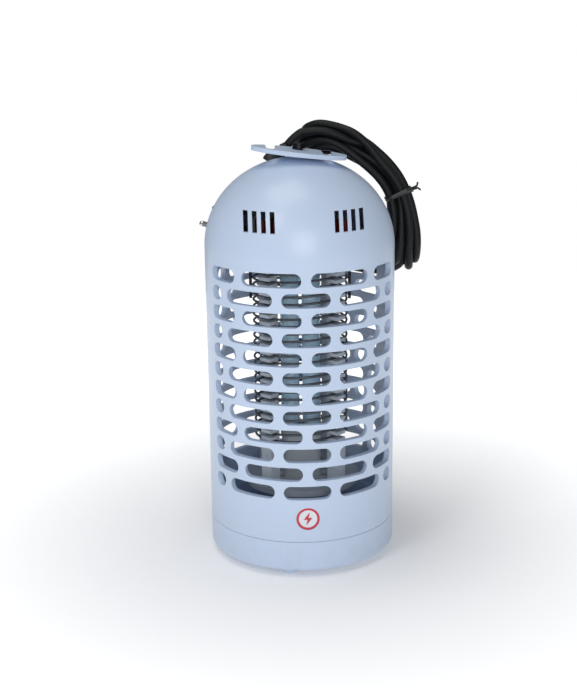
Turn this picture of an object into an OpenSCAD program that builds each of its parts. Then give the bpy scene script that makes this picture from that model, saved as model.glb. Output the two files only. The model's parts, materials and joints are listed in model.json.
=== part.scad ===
// Electric bug zapper: a slotted cylindrical housing with a domed top, a twin-tube lamp
// inside a double helix of high-voltage wire, and a collecting tray that pulls off below.
// Front is -Y, up is +Z, and the feet stand on z = 0 with the housing's axis on the Z axis.

/* [Housing] */
// Outside diameter of the housing and the tray
body_d = 125; // [110:1:150]
// Height of the plain band between the tray and the lowest row of slots
skirt_h = 29; // [24:1:45]
// Height of the plain band between the top row of slots and the dome
shoulder_h = 7.5; // [7:0.5:20]
// Height of the dome
dome_h = 57.5; // [50:0.5:75]
// Thickness of the slotted wall
cage_wall = 3.9; // [3:0.1:5]
// Thickness of the dome's shell
dome_wall = 2.6; // [2:0.1:3.5]

/* [Slots] */
// Number of rows of slots
slot_rows = 12; // [8:1:14]
// Height from one row of slots to the next
row_pitch = 12.65; // [11:0.05:15]
// Height of a slot
slot_h = 9.2; // [6:0.1:9.5]
// Width of the upright bars between the slots
bar_w = 6; // [4:0.5:8]
// Angle from the front to the end of the slotted panel, in degrees
panel_half = 67; // [64:1:72]
// Width of a vent slit in the dome
vent_w = 2.9; // [2:0.1:3.5]
// Height of a vent slit in the dome
vent_h = 12.7; // [8:0.1:16]

/* [Tray] */
// Height of the collecting tray, without its feet
tray_h = 21; // [17:1:40]
// Thickness of the tray's wall and floor
tray_wall = 2.2; // [1.6:0.1:3]
// Gap all round between the tray and the lip that it slides over
tray_fit = 0.3; // [0.25:0.05:0.5]
// Height of the feet
foot_h = 4; // [3:0.5:8]
// Diameter of a foot
foot_d = 11; // [8:0.5:14]

/* [Hanger] */
// Width of the hanger plate
hanger_w = 62; // [54:1:74]
// Thickness of the hanger plate
hanger_t = 2.8; // [2:0.1:4]
// Width of the two hanging slots
hook_w = 6.6; // [5:0.1:8]
// How far the hanger plate rocks to each side, in degrees
rock = 7; // [4:0.5:9]
// Diameter of the hanger screw's shank
hanger_screw_d = 5; // [4:0.5:6]

/* [Lamp and grid] */
// Diameter of one lamp tube
tube_d = 12.5; // [11:0.5:14]
// Length of the lamp tubes
tube_l = 110; // [80:1:112]
// Radius of the wire helix, to the middle of the wire
grid_r = 31; // [28:0.5:36]
// Diameter of the grid wire
wire_d = 1.6; // [1.2:0.1:2]
// Height that one wire climbs in a turn
grid_pitch = 9.8; // [8:0.2:12]
// Width of a comb post
post_w = 8.6; // [7:0.2:10]

/* [Mains lead] */
// Diameter of the mains lead
cord_d = 5.6; // [5:0.1:6.2]
// Clearance between pieces that are pushed together
fit = 0.1; // [0.05:0.05:0.2]

/* [Hidden] */
$fn = 96;
eps = 0.01;

// Heights, from the surface that the feet stand on
body_r = body_d / 2;
seam_z = foot_h + tray_h;
low_slot_z = seam_z + skirt_h;
top_slot_z = low_slot_z + (slot_rows - 1) * row_pitch + slot_h;
dome_z = top_slot_z + shoulder_h;
dome_top = dome_z + dome_h;
seam_gap = 0.3;
cage_r = body_r - cage_wall;

// Plate that closes off the circuits in the dome
divider_t = 2.5;
divider_z = dome_z - divider_t - 2;
divider_top = divider_z + divider_t;
divider_r = cage_r - 0.3;
lug_r = divider_r - 6.5;
lug_d = 8;
lug_h = 11;
screw_hole_d = 3.4;
pilot_d = 2.6;
small_pilot_d = 2;
small_hole_d = 2.4;
// Screw heads: diameter and height
large_head = [5.6, 2];
small_head = [4.6, 1.6];
// How far the screws go into the lugs, the standoffs, the posts' tops and the posts' feet
lug_bite = 7;
board_bite = 3.5;
post_bite = 3.8;
base_bite = 6;
// How far the grid's leads reach below the top of the wires
hv_drop = 26;

// Lip that the tray slides over
lip_h = 8;
lip_t = 2.4;
lip_r = body_r - tray_wall - tray_fit;

// Tray: rounding of its lower edge, and its three feet with the pegs that hold them
edge_r = 3.4;
foot_angles = [-13, 107, 227];
foot_r = body_r - 10.5;
foot_peg_d = 5;

// Bars between the slots, as angles from the front: first the odd rows, then the even ones
bar_angles = [[0, 42], [17, 54]];
bar_half = asin(bar_w / 2 / body_r);

// Vents: two groups of slits on the front and two on the back
vent_count = 4;
vent_pitch = 5.4;
vent_first = 19.9;
vent_z = dome_z + 16.5;

// Badge
badge_d = 15;
badge_t = 0.8;
badge_depth = 1.2;
badge_z = seam_z + 16;

// Hanger plate and what holds it
pedestal_d = 14;
pedestal_h = 0.3;
rock_gap = pedestal_d / 2 * sin(rock) + 0.3;
hanger_z = dome_top + pedestal_h + rock_gap + hanger_t / 2;
hanger_hole_d = hanger_screw_d + hanger_t * tan(rock) + 0.45;
hanger_front = 22;
hanger_back = 14;
hanger_head = [8.6, 3.4];
head_z = hanger_z + hanger_t / 2 + hanger_head[0] / 2 * sin(rock) + 0.3;
// Hanging slots: distance from the middle, and plate left between a slot and the front edge
hook_x = 18.4;
hook_rim = 5.6;
hanger_depth = hanger_front + hanger_back;
hanger_mid = (hanger_back - hanger_front) / 2;
hook_low = hanger_mid - hanger_depth / 2 * sqrt(1 - pow(2 * hook_x / hanger_w, 2)) + hook_rim + hook_w / 2;
seat_d = 18;
seat_z = dome_top - dome_wall - 3;
washer_d = 14;
washer_t = 1.2;
nut_w = 8;
nut_h = 4;

// The mains lead's pieces are set out in a frame turned a little about Z
lead_turn = -3;

// Gland: its axis leans to the right as it leaves the dome
gland_x = -17.5;
gland_y = 24;
gland_at = [gland_x, gland_y, dome_z + dome_h * sqrt(1 - (pow(gland_x, 2) + pow(gland_y, 2)) / pow(body_r, 2))];
gland_lean = 30;
gland_d = 14;
gland_in = 9;
gland_out = 2.5;
gland_bore = 6;
boot_tip_d = 7.4;
// Clamp on the lead inside the dome, and how far below the gland's top the lead's jacket ends
clamp_gap = 2.5;
clamp_t = 6;
clamp_d = 10.6;
clamp_ear = 6;
clamp_w = 8;
clamp_slit = 1;
clamp_screw_y = clamp_d / 2 + clamp_ear / 2;
inner_end = gland_in + clamp_gap + clamp_t + 5;

// Circuit board
board_r = 44;
board_t = 1.6;
standoff_h = 6;
standoff_d = 7;
standoff_r = 38;
standoff_turn = 20;
board_z = divider_top + standoff_h;
board_top = board_z + board_t;
lead_hole_d = 3.2;
vent_hole_d = 4;

// Pieces on the board: where they stand, and width, depth and height
choke_at = [0, 20];
choke_size = [38, 24, 20];
choke_leg = 7;
coil_overhang = 4;
film_at = [[-26, -8], [-16, -12], [20, -10], [27, -10]];
film_size = [17, 6.5, 12];
disc_count = 6;
disc_d = 9;
disc_t = 2.8;
diode_count = 6;
diode_size = [5, 2.6];
resistor_at = [[-6, -3], [8, -3], [-6, -18.5], [6.5, -18.5]];
resistor_size = [8, 3];
fuse_at = [28, 13];
fuse_size = [20, 6, 7];
terminal_at = [-29, 14];
terminal_size = [16, 10, 11];
terminal_pitch = 8;
terminal_hole_z = 3.6;

// Grid base: a ring on the comb posts' feet, with a bridge that carries the lamp
base_t = 4;
base_z = low_slot_z - 3 - base_t;
ring_in = grid_r - 8;
ring_out = grid_r + 8;
bridge_w = 22;
post_z = base_z + base_t;
post_h = divider_z - post_z;
post_in = grid_r - 4.2;
post_out = grid_r + 4.4;

// Lamp, standing on its socket
socket_h = 10;
lamp_base_w = 26;
lamp_base_d = 20;
lamp_base_h = 25;
lamp_base_z = post_z + socket_h;
tube_z = lamp_base_z + lamp_base_h;
tube_x = tube_d / 2 + 0.9;
pin_r = 1.15;
pin_pitch = 23 / 2;
pin_l = 6.5;

// Wire helix
grid_top_z = divider_z - 6;
grid_low_z = low_slot_z + 2 * row_pitch + 1;
grid_turns = (grid_top_z - grid_low_z) / grid_pitch;
wire_steps = 20;
wire_sides = 6;
comb_gap = 0.35;
comb_depth = 0.6;

// Route of the gland's boot, from the gland
boot_steps = [[3.9, 0, 5.16], [6.8, 0, 7.96], [10.2, 0, 11.46]];

// Route of the mains lead: from the tip of the gland's boot to the hank, and from the hank's
// lower end round the back of the housing to the plug's boot
lead_route = [
    [-7.3, 24, 271.9], [-5.4, 24, 274.1], [-3.3, 24, 276.2], [-1.3, 24, 278], [0.8, 24, 279.4],
    [4, 24, 280.8]
];
tail_route = [
    [70.9, 29, 197], [70.6, 31.5, 192.5], [68.6, 35.6, 188.4], [64, 41.4, 184.6], [56.8, 48, 182.2],
    [48.4, 54.6, 181.4], [39.5, 61.4, 181.8], [30.4, 68.4, 183.4], [21.2, 75, 186], [12, 80.2, 189.2],
    [3, 83.2, 193], [-5.7, 83.3, 197]
];
cord_sides = 12;
wire_d_mains = 1.8;
lead_d = 2;

// Hank: a bundle of lengths of lead that arches over the dome and down its right-hand side
hank_y = 28;
hank_w = 24;
hank_t = 17;
hank_start = [5, 275.9];
hank_heading = 23.4;
hank_arcs = [[18, 30.2], [67, 54], [49, 29]];
hank_drop = 21.5;
arc_steps = 8;
tie_step = 18;
tie_w = 3;
tie_t = 1;

// Plug: a flat two-pin mains plug that leans on the dome from behind, pins up and to the left
plug_at = [-48.1, 63.3, 214.3];
plug_az = 205.3;
plug_tilt = 69.8;
plug_roll = 45;
plug_w = 35.3;
plug_t = 13.7;
plug_l = 36;
plug_boot_l = 14;
plug_pin_d = 4;
plug_pin_l = 19;
plug_pin_pitch = 18.6;

shell_c = "#b9cce2";
dark_c = "#16181b";

// ---------------------------------------------------------------- helpers

// Turns a shape from the front to an angle, positive to the right seen from the front
module at_angle(a) rotate([0, 0, a]) children();

// Round-ended slot, centred
module slot_2d(w, h) {
    square([w - h, h], center = true);
    for (s = [-1, 1]) translate([s * (w - h) / 2, 0]) circle(d = h, $fn = 48);
}

// Rectangle with rounded corners, centred
module round_rect(w, h, r) {
    square([w - 2 * r, h], center = true);
    square([w, h - 2 * r], center = true);
    for (x = [-1, 1], y = [-1, 1]) translate([x * (w / 2 - r), y * (h / 2 - r)]) circle(r, $fn = 32);
}

function unit(v) = v / norm(v);

// Direction of a route at each of its points
function heading(p, i) = unit(p[min(i + 1, len(p) - 1)] - p[max(i - 1, 0)]);

// Tube swept along a route: one ring of points round each point, closed at both ends
module sweep_tube(p, radii, sides) {
    n = len(p);
    frames = [for (i = [0 : n - 1])
        let (t = heading(p, i),
             side = unit(cross(t, abs(t[2]) > 0.95 ? [0, 1, 0] : [0, 0, 1])))
        [side, cross(side, t)]];
    rings = [for (i = [0 : n - 1], k = [0 : sides - 1])
        p[i] + radii[i] * (cos(360 * k / sides) * frames[i][0] + sin(360 * k / sides) * frames[i][1])];
    walls = [for (i = [0 : n - 2], k = [0 : sides - 1])
        let (a = i * sides + k, b = i * sides + (k + 1) % sides)
        [a, b, b + sides, a + sides]];
    first = [for (k = [sides - 1 : -1 : 0]) k];
    last = [for (k = [0 : sides - 1]) (n - 1) * sides + k];
    polyhedron(points = rings, faces = concat(walls, [first, last]), convexity = 10);
}

// Smooth route through hand-set points, with extra points between them (Catmull-Rom)
function smooth(p, parts) = [
    for (i = [0 : len(p) - 2], k = [0 : parts - 1])
        let (a = p[max(i - 1, 0)], b = p[i], c = p[i + 1], d = p[min(i + 2, len(p) - 1)], u = k / parts)
        0.5 * (2 * b + (c - a) * u + (2 * a - 5 * b + 4 * c - d) * u * u
               + (3 * b - a - 3 * c + d) * u * u * u),
    p[len(p) - 1]
];

// ---------------------------------------------------------------- housing

module dome_solid(r, h) {
    intersection() {
        scale([1, 1, h / r]) sphere(r = r, $fn = 128);
        translate([0, 0, h / 2]) cube([2.2 * r, 2.2 * r, h], center = true);
    }
}

// Edges of the slots in one row, as pairs of angles
function row_slots(row) =
    let (bars = bar_angles[row % 2],
         right = [for (a = bars) if (a > 0) a],
         all = concat([for (i = [len(right) - 1 : -1 : 0]) -right[i]], bars[0] == 0 ? [0] : [], right),
         n = len(all))
    concat(
        [[-panel_half, all[0] - bar_half]],
        [for (i = [0 : n - 2]) [all[i] + bar_half, all[i + 1] - bar_half]],
        [[all[n - 1] + bar_half, panel_half]]
    );

module slot_cuts() {
    for (row = [0 : slot_rows - 1], back = [0, 180], s = row_slots(row)) {
        half = (s[1] - s[0]) / 2;
        z = top_slot_z - slot_h / 2 - row * row_pitch;
        depth = body_r - cage_r * cos(half) + 2;
        at_angle((s[0] + s[1]) / 2 + back)
            translate([0, 1 - body_r + depth, z]) rotate([90, 0, 0])
                linear_extrude(depth + 2) slot_2d(2 * body_r * sin(half), slot_h);
    }
}

module vent_cuts() {
    for (side = [-1, 1], i = [0 : vent_count - 1])
        translate([side * (vent_first + i * vent_pitch), 0, vent_z + vent_h / 2])
            cube([vent_w, 3 * body_r, vent_h], center = true);
}

module lead_frame() rotate([0, 0, lead_turn]) children();

module gland_frame() lead_frame() translate(gland_at) rotate([0, gland_lean, 0]) children();

module housing_outer() {
    translate([0, 0, seam_z]) cylinder(r = body_r, h = dome_z - seam_z);
    translate([0, 0, dome_z]) dome_solid(body_r, dome_h);
}

module housing_inner() {
    translate([0, 0, seam_z - 1]) cylinder(r = cage_r, h = divider_top - seam_z + 1);
    translate([0, 0, divider_top]) cylinder(r = body_r - dome_wall, h = dome_z - divider_top);
    translate([0, 0, dome_z]) dome_solid(body_r - dome_wall, dome_h - dome_wall);
}

module housing() color(shell_c) {
    difference() {
        union() {
            difference() {
                housing_outer();
                housing_inner();
            }
            // lip inside the tray
            translate([0, 0, seam_z - lip_h]) difference() {
                cylinder(r = lip_r, h = lip_h + 3);
                translate([0, 0, -1]) cylinder(r = lip_r - lip_t, h = lip_h + 5);
            }
            // lugs that the divider plate is screwed to
            for (k = [0 : 3]) rotate([0, 0, 90 * k]) {
                translate([lug_r, 0, divider_top]) cylinder(d = lug_d, h = lug_h);
                translate([lug_r, -lug_d / 4, divider_top])
                    cube([body_r - dome_wall + 0.6 - lug_r, lug_d / 2, lug_h]);
            }
            // pedestal above and screw seat below the hanger plate
            translate([0, 0, seat_z]) cylinder(d = seat_d, h = dome_top - dome_wall + 0.5 - seat_z);
            translate([0, 0, dome_top - 1.5]) cylinder(d = pedestal_d, h = 1.5 + pedestal_h);
        }
        slot_cuts();
        vent_cuts();
        // recess for the badge
        translate([0, -body_r + badge_depth, badge_z]) rotate([90, 0, 0])
            cylinder(d = badge_d + 2 * fit, h = 5);
        // bores: hanger screw, gland, divider screws
        translate([0, 0, seat_z - 1]) cylinder(d = hanger_screw_d + 2 * fit, h = 20);
        gland_frame() translate([0, 0, -12]) cylinder(d = gland_d + 2 * fit, h = 24);
        for (k = [0 : 3]) rotate([0, 0, 90 * k]) translate([lug_r, 0, divider_top - 1])
            cylinder(d = pilot_d, h = lug_bite + 3, $fn = 32);
    }
}

// A round badge let into the skirt: a ring round a lightning bolt
module front_badge() color("#c8283c")
    translate([0, -body_r + badge_depth, badge_z]) rotate([90, 0, 0]) {
        linear_extrude(badge_t) difference() {
            circle(d = badge_d);
            circle(d = badge_d - 3);
        }
        linear_extrude(badge_t - 0.3) circle(d = badge_d - 3 + eps);
        linear_extrude(badge_t)
            polygon([[1.2, 4.6], [-2.8, -0.6], [-0.3, -0.6], [-1.2, -4.6], [2.8, 0.6], [0.3, 0.6]]);
    }

// ---------------------------------------------------------------- divider and hanger

module divider_plate() color("#d8dde3") {
    difference() {
        union() {
            translate([0, 0, divider_z]) cylinder(r = divider_r, h = divider_t);
            for (k = [0 : 3]) rotate([0, 0, 90 * k + standoff_turn]) translate([standoff_r, 0, divider_top - eps])
                cylinder(d = standoff_d, h = standoff_h + eps);
        }
        for (k = [0 : 3]) rotate([0, 0, 90 * k]) {
            translate([lug_r, 0, divider_z - 1]) cylinder(d = screw_hole_d, h = divider_t + 2, $fn = 32);
            rotate([0, 0, standoff_turn]) translate([standoff_r, 0, divider_top + 1])
                cylinder(d = pilot_d, h = standoff_h, $fn = 32);
            rotate([0, 0, 45]) translate([grid_r, 0, divider_z - 1])
                cylinder(d = small_hole_d, h = divider_t + 2, $fn = 32);
        }
        // holes for the leads to the grid and the lamp
        for (p = lead_holes) translate([p[0], p[1], divider_z - 1]) cylinder(d = lead_hole_d, h = divider_t + 2, $fn = 32);
        // slots that let warm air rise out of the chamber
        for (a = [22.5 : 45 : 359]) rotate([0, 0, a]) translate([divider_r - 5, 0, divider_z - 1])
            cylinder(d = vent_hole_d, h = divider_t + 2, $fn = 32);
    }
}

// Cross-head screw, its head up, its seat at z = 0
module pan_screw(d, length, head) {
    translate([0, 0, -length]) cylinder(d = d, h = length + eps, $fn = 32);
    difference() {
        cylinder(d1 = head[0], d2 = head[0] * 0.86, h = head[1], $fn = 48);
        for (a = [0, 90]) rotate([0, 0, a]) translate([0, 0, head[1]])
            cube([head[0] * 0.55, head[0] * 0.14, head[1] * 0.9], center = true);
    }
}

module divider_screws() color("silver")
    for (k = [0 : 3]) rotate([0, 0, 90 * k]) translate([lug_r, 0, divider_z]) rotate([180, 0, 0])
        pan_screw(pilot_d, divider_t + lug_bite, large_head);

// Oval plate with two hanging slots that open to the back
module hanger_2d() {
    difference() {
        translate([0, hanger_mid]) scale([1, hanger_depth / hanger_w]) circle(d = hanger_w, $fn = 160);
        for (s = [-1, 1]) translate([s * hook_x, 0]) {
            translate([-hook_w / 2, hook_low]) square([hook_w, hanger_w]);
            translate([0, hook_low]) circle(d = hook_w, $fn = 48);
        }
        circle(d = hanger_hole_d, $fn = 48);
    }
}

module hanger_plate() color(shell_c)
    translate([0, 0, hanger_z]) rotate([0, rock, 0]) translate([0, 0, -hanger_t / 2])
        linear_extrude(hanger_t) hanger_2d();

module hanger_screw() color(dark_c) translate([0, 0, head_z])
    pan_screw(hanger_screw_d, head_z - seat_z + washer_t + nut_h + 1.5, hanger_head);

module hanger_washer() color("silver") translate([0, 0, seat_z - washer_t]) difference() {
    cylinder(d = washer_d, h = washer_t);
    translate([0, 0, -1]) cylinder(d = hanger_screw_d + 2 * fit, h = washer_t + 2);
}

module hanger_nut() color("silver") translate([0, 0, seat_z - washer_t - nut_h]) difference() {
    cylinder(d = nut_w / cos(30), h = nut_h, $fn = 6);
    translate([0, 0, -1]) cylinder(d = hanger_screw_d + 2 * fit, h = nut_h + 2);
}

// ---------------------------------------------------------------- cord entry

module cord_gland() color(dark_c) {
    gland_frame() difference() {
        translate([0, 0, -gland_in]) cylinder(d = gland_d, h = gland_in + gland_out);
        translate([0, 0, -gland_in - 1]) cylinder(d = cord_d + 2 * fit, h = gland_bore + 1, $fn = 48);
    }
    lead_frame() sweep_tube(concat([gland_point(gland_out - 1), gland_point(gland_out + 1)],
                                   [for (p = boot_steps) gland_at + p]),
                            [gland_d / 2 - 0.8, gland_d / 2 - 1.2, 5, 4.3, boot_tip_d / 2], 24);
}

function turned(p) = [p[0] * cos(lead_turn) - p[1] * sin(lead_turn),
                      p[0] * sin(lead_turn) + p[1] * cos(lead_turn), p[2]];
function gland_point(along) = gland_at + along * [sin(gland_lean), 0, cos(gland_lean)];

module inner_lead() color(dark_c)
    gland_frame() translate([0, 0, -inner_end])
        cylinder(d = cord_d, h = inner_end - gland_in + gland_bore, $fn = 48);

// Split collar that grips the lead behind the gland, pinched by one screw across its ear
module cord_clamp() color("#d8dde3") gland_frame() translate([0, 0, -gland_in - clamp_gap - clamp_t])
    difference() {
        union() {
            cylinder(d = clamp_d, h = clamp_t);
            translate([-clamp_w / 2, -clamp_d / 2 - clamp_ear, 0])
                cube([clamp_w, clamp_d / 2 + clamp_ear, clamp_t]);
        }
        translate([0, 0, -1]) cylinder(d = cord_d + 2 * fit, h = clamp_t + 2, $fn = 48);
        translate([-clamp_slit / 2, -clamp_d, -1]) cube([clamp_slit, clamp_d, clamp_t + 2]);
        translate([-clamp_w, -clamp_screw_y, clamp_t / 2]) rotate([0, 90, 0])
            cylinder(d = pilot_d + 2 * fit, h = 2 * clamp_w, $fn = 32);
    }

module clamp_screw() color("silver") gland_frame()
    translate([clamp_w / 2, -clamp_screw_y, -gland_in - clamp_gap - clamp_t / 2]) rotate([0, 90, 0])
        pan_screw(pilot_d, clamp_w + 1.5, large_head);

// ---------------------------------------------------------------- circuits in the dome

module on_board(x, y, turn = 0) translate([x, y, board_top]) rotate([0, 0, turn]) children();

module circuit_board() color("#2f6b3c") difference() {
    translate([0, 0, board_z]) cylinder(r = board_r, h = board_t);
    for (k = [0 : 3]) rotate([0, 0, 90 * k + standoff_turn]) translate([standoff_r, 0, board_z - 1])
        cylinder(d = screw_hole_d, h = board_t + 2, $fn = 32);
    for (p = lead_holes) translate([p[0], p[1], board_z - 1]) cylinder(d = lead_hole_d, h = board_t + 2, $fn = 32);
}

module board_screws() color("silver")
    for (k = [0 : 3]) rotate([0, 0, 90 * k + standoff_turn]) translate([standoff_r, 0, board_top])
        pan_screw(pilot_d, board_t + board_bite, large_head);

// Core with a window on each side of its middle, which the coil fills
module choke_core() color("#6f757b") on_board(choke_at[0], choke_at[1]) difference() {
    translate([-choke_size[0] / 2, -choke_size[1] / 2, 0]) cube(choke_size);
    translate([0, 0, choke_size[2] / 2])
        cube([choke_size[0] - 2 * choke_leg, choke_size[1] + 2, choke_size[2] / 2], center = true);
}

module choke_coil() color("#b5642a") on_board(choke_at[0], choke_at[1])
    translate([0, 0, choke_size[2] / 2]) rotate([90, 0, 0])
        translate([0, 0, -choke_size[1] / 2 - coil_overhang]) linear_extrude(choke_size[1] + 2 * coil_overhang)
            round_rect(choke_size[0] - 2 * choke_leg - 0.4, choke_size[2] / 2 - 0.4, 2);

module film_capacitors() color("#a33b2c")
    for (p = film_at) on_board(p[0], p[1], 90)
        translate([0, 0, 0.4]) linear_extrude(film_size[2]) round_rect(film_size[0], film_size[1], 1.5);

module disc_capacitors() color("#3c7ab5")
    for (i = [0 : disc_count - 1]) on_board(-15 + i * 6, -27, 90) {
        translate([0, disc_t / 2, disc_d / 2 + 1.1]) rotate([90, 0, 0]) cylinder(d = disc_d, h = disc_t, $fn = 40);
        for (s = [-1, 1]) translate([s * 2.5, 0, 0]) cylinder(d = 0.8, h = 2.6, $fn = 16);
    }

module axial_part(length, d) {
    translate([-length / 2, 0, d / 2 + 0.5]) rotate([0, 90, 0]) cylinder(d = d, h = length, $fn = 32);
    for (s = [-1, 1]) {
        translate([s * (length / 2 + 1.5), 0, 0]) cylinder(d = 0.7, h = d / 2 + 0.85, $fn = 16);
        translate([s * (length / 2 + 0.75) - 1.1, 0, d / 2 + 0.5]) rotate([0, 90, 0])
            cylinder(d = 0.7, h = 2.2, $fn = 16);
    }
}

module diodes() color("#26282b")
    for (i = [0 : diode_count - 1]) on_board(-16 + i * 4.4, -35, 90) axial_part(diode_size[0], diode_size[1]);

module resistors() color("#c8a878")
    for (p = resistor_at) on_board(p[0], p[1]) axial_part(resistor_size[0], resistor_size[1]);

// Glass fuse between the two jaws of its holder
module fuse_holder() color("#2a2c2f") on_board(fuse_at[0], fuse_at[1], 90) {
    translate([-fuse_size[0] / 2, -fuse_size[1] / 2, 0]) cube([fuse_size[0], fuse_size[1], 2]);
    for (s = [-1, 1]) translate([s * (fuse_size[0] / 2 - 1) - 1, -fuse_size[1] / 2, 2 - eps])
        cube([2, fuse_size[1], fuse_size[2] - 2]);
    translate([2 - fuse_size[0] / 2 - eps, 0, fuse_size[2] - 1.8]) rotate([0, 90, 0])
        cylinder(d = 5, h = fuse_size[0] - 4 + 2 * eps, $fn = 32);
}

module terminal_block() color("#e7e7df") on_board(terminal_at[0], terminal_at[1], 90) difference() {
    translate([-terminal_size[0] / 2, -terminal_size[1] / 2, 0]) cube(terminal_size);
    for (s = [-1, 1]) translate([s * terminal_pitch / 2, 0, 0]) {
        translate([0, 0, terminal_hole_z + 1.4]) cylinder(d = 3.6, h = terminal_size[2], $fn = 32);
        translate([0, -terminal_size[1], terminal_hole_z]) rotate([-90, 0, 0])
            cylinder(d = 2.6, h = 2 * terminal_size[1], $fn = 32);
    }
}

module terminal_screws() color("silver") on_board(terminal_at[0], terminal_at[1], 90)
    for (s = [-1, 1]) translate([s * terminal_pitch / 2, 0, terminal_hole_z + 1.5]) difference() {
        cylinder(d = 3.4, h = 4.6, $fn = 32);
        translate([0, 0, 4.6]) cube([4, 0.7, 1.6], center = true);
    }

// ---------------------------------------------------------------- leads

// Holes through the divider and the board: two for the grid, two for the lamp
hv_r = grid_r + wire_d / 2 + lead_d / 2 + 0.1;
lamp_lead_r = post_out + lead_d / 2 + 0.2;
lead_holes = concat(
    [for (a = [-7, 173]) hv_r * [cos(a), sin(a)]],
    [for (a = [45, 135]) lamp_lead_r * [cos(a), sin(a)]]
);

// The two mains wires: from the cut end of the lead's jacket round into the terminal block's
// outer side
module mains_wires() {
    for (s = [-1, 1]) color(s < 0 ? "#6b3f22" : "#2a4f9c") {
        start = turned(gland_point(-inner_end) + [0, s * 1.5, 0]);
        next = turned(gland_point(-inner_end - 1.5) + [0, s * 1.5, 0]);
        face = [terminal_at[0] - terminal_size[1] / 2, terminal_at[1] + s * terminal_pitch / 2,
                board_top + terminal_hole_z];
        route = concat([start], smooth([
            next, next + [-3.4, s - 1.5, -5], [face[0] - 3.2, face[1] + 1.5, face[2] + 9],
            face + [-4.2, 0, 3.4], face + [-2.4, 0, 0.4], face, face + [3, 0, 0]
        ], 4));
        sweep_tube(route, [for (q = route) wire_d_mains / 2], 8);
    }
}

module grid_leads() color("#1c1d20")
    for (i = [0, 1]) translate([lead_holes[i][0], lead_holes[i][1], grid_top_z - hv_drop])
        cylinder(d = lead_d, h = board_top + 3 - grid_top_z + hv_drop, $fn = 24);

// From the board down the outside of the back posts, then inwards over the ring to the socket
module lamp_leads() color("#e9e9e4") for (i = [2, 3]) {
    s = i == 2 ? 1 : -1;
    p = lead_holes[i];
    floor_z = post_z + lead_d / 2 + 0.3;
    socket_y = lamp_base_d / 2;
    route = concat(smooth([
        [p[0], p[1], board_top + 3], [p[0], p[1], post_z + 20], [p[0], p[1], post_z + 7],
        [p[0] - s * 2.7, p[1] + 2.7, floor_z + 1.2], [p[0] - s * 5.8, p[1] + 4, floor_z],
        [s * 14, 24, floor_z], [s * 10, 16, floor_z + 0.4], [s * 8, socket_y + 1, floor_z + 1.8]
    ], 4), [[s * 8, socket_y, floor_z + 1.8]]);
    sweep_tube(route, [for (q = route) lead_d / 2], 8);
}

// ---------------------------------------------------------------- grid

// Height of a wire where it passes an angle, the n-th time round
function wire_z(start, angle, n) = grid_low_z + grid_pitch * (n + ((angle - start + 720) % 360) / 360);

module comb_post(angle) {
    notch = wire_d + 2 * comb_gap + grid_pitch * (post_w / grid_r) / 6.2832;
    zs = [for (start = [0, 180], n = [0 : ceil(grid_turns)])
        let (z = wire_z(start, angle, n)) if (z < grid_top_z + grid_pitch / 4) z];
    cut = grid_r - wire_d / 2 - comb_depth;
    rotate([0, 0, angle]) difference() {
        translate([post_in, -post_w / 2, post_z]) cube([post_out - post_in, post_w, post_h]);
        for (z = zs) translate([cut, -post_w, z - notch / 2]) cube([post_out, 2 * post_w, notch]);
        translate([grid_r, 0, post_z - 1]) cylinder(d = small_pilot_d, h = base_bite + 3, $fn = 24);
        translate([grid_r, 0, divider_z - post_bite - 0.4]) cylinder(d = small_pilot_d, h = post_bite + 1, $fn = 24);
    }
}

module grid_posts() color("#dfe6ec") for (a = [45 : 90 : 315]) comb_post(a);

module post_screws() color("silver")
    for (a = [45 : 90 : 315]) rotate([0, 0, a]) translate([grid_r, 0, divider_top])
        pan_screw(small_pilot_d, divider_t + post_bite, small_head);

module helix(start) {
    n = floor(grid_turns * wire_steps);
    route = [for (i = [0 : n])
        let (a = start + 360 * i / wire_steps)
        [grid_r * cos(a), grid_r * sin(a), grid_low_z + grid_pitch * i / wire_steps]];
    sweep_tube(route, [for (i = [0 : n]) wire_d / 2], wire_sides);
}

module grid_wire_a() color("#5a5d60") helix(0);
module grid_wire_b() color("#5a5d60") helix(180);

// ---------------------------------------------------------------- grid base and lamp

module grid_base() color("#c9ced4") difference() {
    translate([0, 0, base_z]) union() {
        difference() {
            cylinder(r = ring_out, h = base_t);
            translate([0, 0, -1]) cylinder(r = ring_in, h = base_t + 2);
        }
        translate([-ring_in - 2, -bridge_w / 2, 0]) cube([2 * ring_in + 4, bridge_w, base_t]);
    }
    for (a = [45 : 90 : 315]) rotate([0, 0, a]) translate([grid_r, 0, base_z - 1])
        cylinder(d = small_hole_d, h = base_t + 2, $fn = 24);
}

module base_screws() color("silver")
    for (a = [45 : 90 : 315]) rotate([0, 0, a]) translate([grid_r, 0, base_z]) rotate([180, 0, 0])
        pan_screw(small_pilot_d, base_t + base_bite, small_head);

module lamp_socket() color("#c3c8ce") translate([0, 0, post_z]) difference() {
    union() {
        linear_extrude(socket_h) round_rect(lamp_base_w, lamp_base_d, 3);
        for (s = [-1, 1]) translate([s * (lamp_base_w / 2 + 3) - 3.5, -5, 0]) cube([7, 10, 2.5]);
    }
    for (s = [-1, 1]) translate([s * pin_pitch, 0, socket_h - pin_l - 0.5])
        cylinder(r = pin_r + 0.05, h = 20, $fn = 32);
}

module lamp_base() color("#d2d6da") translate([0, 0, lamp_base_z]) {
    linear_extrude(lamp_base_h - 6) round_rect(lamp_base_w, lamp_base_d, 4);
    translate([0, 0, lamp_base_h - 6 - eps]) linear_extrude(6 + eps) round_rect(lamp_base_w + 2, tube_d + 2.5, 4);
}

module lamp_pins() color("#c7a54a")
    for (s = [-1, 1]) translate([s * pin_pitch, 0, lamp_base_z - pin_l]) cylinder(r = pin_r, h = pin_l, $fn = 32);

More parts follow.
